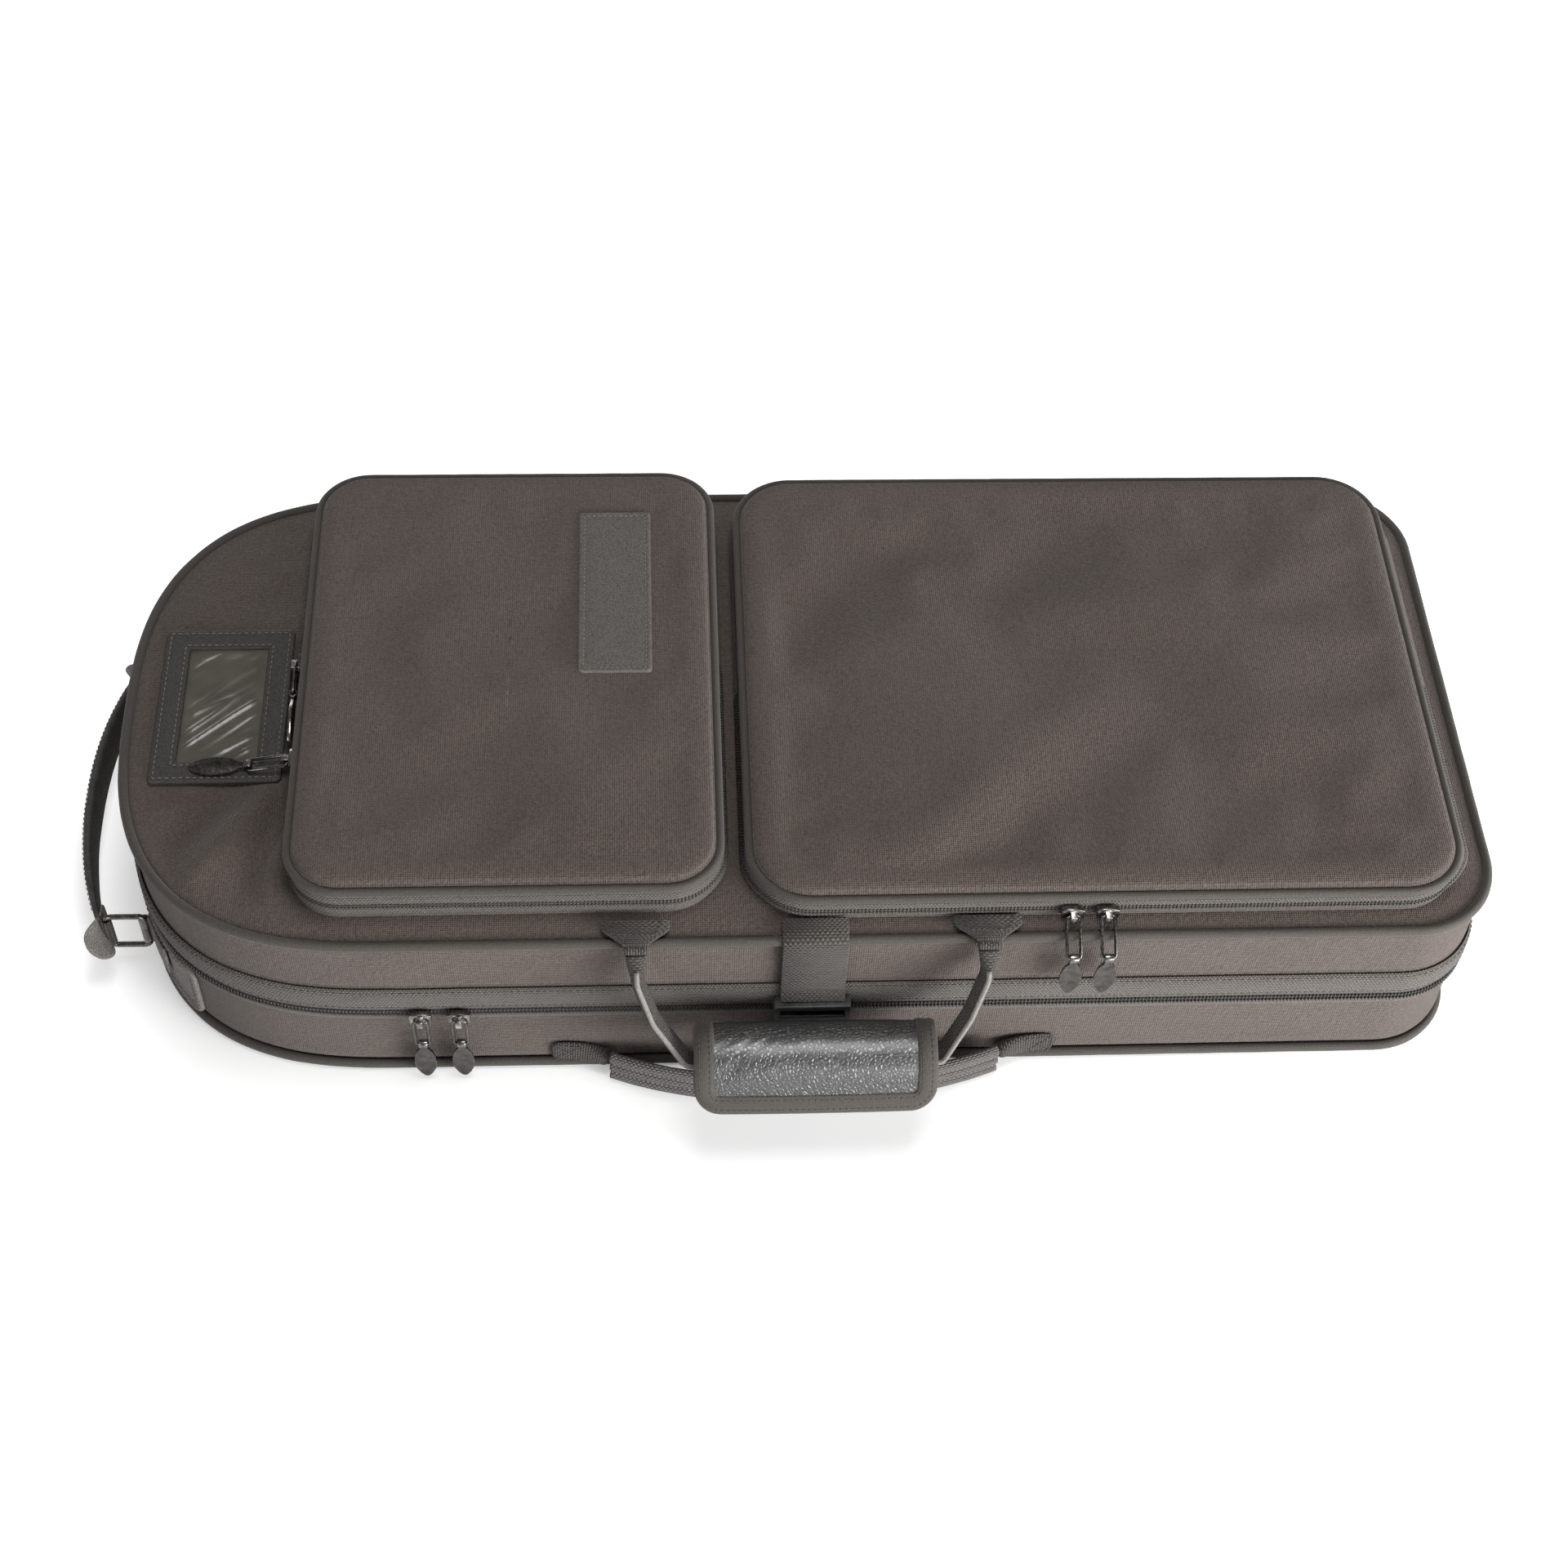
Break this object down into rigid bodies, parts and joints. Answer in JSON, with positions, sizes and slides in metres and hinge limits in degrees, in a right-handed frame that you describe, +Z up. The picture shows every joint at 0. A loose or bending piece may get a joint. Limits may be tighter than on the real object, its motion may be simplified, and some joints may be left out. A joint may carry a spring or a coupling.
{
  "type": "bassoon case",
  "caption": "Soft zipped bassoon case with a rounded end, fitted insert, pockets on the lid, buckled closing strap and carry handles.",
  "frame": {"origin": "centre of the case's bottom face, on the surface it lies on", "axes": "+Z up through the lid, -X towards the rounded end, -Y towards the front with the handles, +Y towards the lid's hinge"},
  "size_m": [0.7166, 0.349, 0.1377],
  "materials": {
    "nylon_fabric": "fine woven nylon, matt",
    "piping": "woven cord edging",
    "zip_band": "ribbed tape with a nylon coil",
    "webbing": "coarse woven webbing",
    "dark_leather": "smooth, stitched",
    "black_leather": "glossy, pebbled",
    "foam_insert": "plush over firm foam",
    "plush_lining": "plush",
    "black_plastic": "moulded, slightly glossy",
    "clear_vinyl": "clear flexible sheet",
    "metal": "gunmetal plated, bright edges"
  },
  "bodies": {
    "base": {"base_shell": "nylon_fabric", "base_insert": "foam_insert", "base_piping": "piping", "base_zip_tape": "zip_band", "base_spine": "nylon_fabric", "end_patch": "dark_leather", "end_anchor_front": "webbing", "end_anchor_rear": "webbing", "strap_patch_left": "webbing", "strap_patch_right": "webbing", "buckle_tab": "webbing", "buckle_socket": "black_plastic"},
    "lid": {"lid_shell": "nylon_fabric", "lid_lining": "plush_lining", "lid_piping": "piping", "lid_zip_tape": "zip_band", "lid_zip_flap": "zip_band", "lid_spine": "nylon_fabric", "id_frame": "dark_leather", "id_window": "clear_vinyl", "handle_anchor_left": "webbing", "handle_anchor_right": "webbing", "closing_strap": "webbing", "small_pocket_gusset": "nylon_fabric", "small_pocket_zip": "zip_band", "large_pocket_gusset": "nylon_fabric", "large_pocket_zip": "zip_band"},
    "small_pocket_cover": {"small_pocket_flap": "nylon_fabric", "small_pocket_piping": "piping", "label_patch": "dark_leather"},
    "large_pocket_cover": {"large_pocket_flap": "nylon_fabric", "large_pocket_piping": "piping"},
    "carry_handle": {"carry_strap": "webbing", "handle_grip": "black_leather"},
    "lower_handle": {"lower_strap": "webbing"},
    "buckle": {"buckle_plug": "black_plastic"},
    "front_ring": {"end_ring_front": "metal"},
    "rear_ring": {"end_ring_rear": "metal"},
    "end_handle": {"end_strap": "webbing"},
    "main_zip_left_slider_body": {"main_zip_left_slider": "metal"},
    "main_zip_left_link_body": {"main_zip_left_link": "metal"},
    "main_zip_left_tag_body": {"main_zip_left_tag": "metal"},
    "main_zip_right_slider_body": {"main_zip_right_slider": "metal"},
    "main_zip_right_link_body": {"main_zip_right_link": "metal"},
    "main_zip_right_tag_body": {"main_zip_right_tag": "metal"},
    "large_zip_left_slider_body": {"large_zip_left_slider": "metal"},
    "large_zip_left_link_body": {"large_zip_left_link": "metal"},
    "large_zip_left_tag_body": {"large_zip_left_tag": "metal"},
    "large_zip_right_slider_body": {"large_zip_right_slider": "metal"},
    "large_zip_right_link_body": {"large_zip_right_link": "metal"},
    "large_zip_right_tag_body": {"large_zip_right_tag": "metal"},
    "small_zip_front_slider_body": {"small_zip_front_slider": "metal"},
    "small_zip_front_link_body": {"small_zip_front_link": "metal"},
    "small_zip_front_tag_body": {"small_zip_front_tag": "metal"},
    "small_zip_rear_slider_body": {"small_zip_rear_slider": "metal"},
    "small_zip_rear_link_body": {"small_zip_rear_link": "metal"},
    "small_zip_rear_tag_body": {"small_zip_rear_tag": "metal"}
  },
  "joints": [
    {"name": "lid_hinge", "type": "hinge", "parent": "base", "child": "lid", "pos_m": [0, 0.1499, 0.0535], "axis": [-1, 0, 0], "range_deg": [0, 110]},
    {"name": "small_pocket_cover_hinge", "type": "hinge", "parent": "lid", "child": "small_pocket_cover", "pos_m": [-0.1455, 0.1425, 0.121], "axis": [-1, 0, 0], "range_deg": [0, 90]},
    {"name": "large_pocket_cover_hinge", "type": "hinge", "parent": "lid", "child": "large_pocket_cover", "pos_m": [0.147, 0.1415, 0.118], "axis": [-1, 0, 0], "range_deg": [0, 90]},
    {"name": "carry_handle_hinge", "type": "hinge", "parent": "lid", "child": "carry_handle", "pos_m": [0.002, -0.153, 0.112], "axis": [-1, 0, 0], "range_deg": [0, 150]},
    {"name": "lower_handle_hinge", "type": "hinge", "parent": "base", "child": "lower_handle", "pos_m": [0.0014, -0.153, 0.0125], "axis": [-1, 0, 0], "range_deg": [0, 30]},
    {"name": "buckle_release", "type": "slide", "parent": "lid", "child": "buckle", "axis": [0, 0, 1], "range_m": [0, 0.024], "deforming": ["closing_strap"]},
    {"name": "front_ring_turn", "type": "hinge", "parent": "base", "child": "front_ring", "pos_m": [-0.33481, -0.08082, 0.0302], "axis": [0, 0, 1], "range_deg": [-45, 45]},
    {"name": "rear_ring_turn", "type": "hinge", "parent": "base", "child": "rear_ring", "pos_m": [-0.33481, 0.08082, 0.0302], "axis": [0, 0, 1], "range_deg": [-45, 45]},
    {"name": "end_handle_turn", "type": "hinge", "parent": "front_ring", "child": "end_handle", "pos_m": [-0.35481, -0.08082, 0.0302], "axis": [0, 0, 1], "range_deg": [-45, 45]},
    {"name": "main_zip_left_slide", "type": "slide", "parent": "base", "child": "main_zip_left_slider_body", "axis": [-1, 0, 0], "range_m": [0, 0.02]},
    {"name": "main_zip_left_link_swing", "type": "hinge", "parent": "main_zip_left_slider_body", "child": "main_zip_left_link_body", "pos_m": [-0.19, -0.1541, 0.0535], "axis": [-1, 0, 0], "range_deg": [0, 90]},
    {"name": "main_zip_left_tag_swing", "type": "hinge", "parent": "main_zip_left_link_body", "child": "main_zip_left_tag_body", "pos_m": [-0.19, -0.1541, 0.0335], "axis": [-1, 0, 0], "range_deg": [0, 60]},
    {"name": "main_zip_right_slide", "type": "slide", "parent": "base", "child": "main_zip_right_slider_body", "axis": [1, 0, 0], "range_m": [0, 0.03]},
    {"name": "main_zip_right_link_swing", "type": "hinge", "parent": "main_zip_right_slider_body", "child": "main_zip_right_link_body", "pos_m": [-0.171, -0.1541, 0.0535], "axis": [-1, 0, 0], "range_deg": [0, 90]},
    {"name": "main_zip_right_tag_swing", "type": "hinge", "parent": "main_zip_right_link_body", "child": "main_zip_right_tag_body", "pos_m": [-0.171, -0.1541, 0.0335], "axis": [-1, 0, 0], "range_deg": [0, 60]},
    {"name": "large_zip_left_slide", "type": "slide", "parent": "lid", "child": "large_zip_left_slider_body", "axis": [-1, 0, 0], "range_m": [0, 0.015]},
    {"name": "large_zip_left_link_swing", "type": "hinge", "parent": "large_zip_left_slider_body", "child": "large_zip_left_link_body", "pos_m": [0.128, -0.1415, 0.118], "axis": [-1, 0, 0], "range_deg": [0, 70]},
    {"name": "large_zip_left_tag_swing", "type": "hinge", "parent": "large_zip_left_link_body", "child": "large_zip_left_tag_body", "pos_m": [0.128, -0.15788, 0.10653], "axis": [-1, 0, 0], "range_deg": [0, 60]},
    {"name": "large_zip_right_slide", "type": "slide", "parent": "lid", "child": "large_zip_right_slider_body", "axis": [1, 0, 0], "range_m": [0, 0.13]},
    {"name": "large_zip_right_link_swing", "type": "hinge", "parent": "large_zip_right_slider_body", "child": "large_zip_right_link_body", "pos_m": [0.145, -0.1415, 0.118], "axis": [-1, 0, 0], "range_deg": [0, 70]},
    {"name": "large_zip_right_tag_swing", "type": "hinge", "parent": "large_zip_right_link_body", "child": "large_zip_right_tag_body", "pos_m": [0.145, -0.15788, 0.10653], "axis": [-1, 0, 0], "range_deg": [0, 60]},
    {"name": "small_zip_front_slide", "type": "slide", "parent": "lid", "child": "small_zip_front_slider_body", "axis": [0, -1, 0], "range_m": [0, 0.06]},
    {"name": "small_zip_front_link_swing", "type": "hinge", "parent": "small_zip_front_slider_body", "child": "small_zip_front_link_body", "pos_m": [-0.2555, -0.042, 0.121], "axis": [0, 1, 0], "range_deg": [0, 70]},
    {"name": "small_zip_front_tag_swing", "type": "hinge", "parent": "small_zip_front_link_body", "child": "small_zip_front_tag_body", "pos_m": [-0.27517, -0.042, 0.1174], "axis": [0, 1, 0], "range_deg": [0, 60]},
    {"name": "small_zip_rear_slide", "type": "slide", "parent": "lid", "child": "small_zip_rear_slider_body", "axis": [0, 1, 0], "range_m": [0, 0.025]},
    {"name": "small_zip_rear_link_swing", "type": "hinge", "parent": "small_zip_rear_slider_body", "child": "small_zip_rear_link_body", "pos_m": [-0.2555, 0.02, 0.121], "axis": [0, 0, -1], "range_deg": [0, 80]},
    {"name": "small_zip_rear_tag_swing", "type": "hinge", "parent": "small_zip_rear_link_body", "child": "small_zip_rear_tag_body", "pos_m": [-0.2555, 0, 0.121], "axis": [0, 0, -1], "range_deg": [0, 60]}
  ],
  "couplings": [
    {"joint": "rear_ring_turn", "follows": "front_ring_turn", "ratio": 1},
    {"joint": "end_handle_turn", "follows": "front_ring_turn", "ratio": -1}
  ]
}
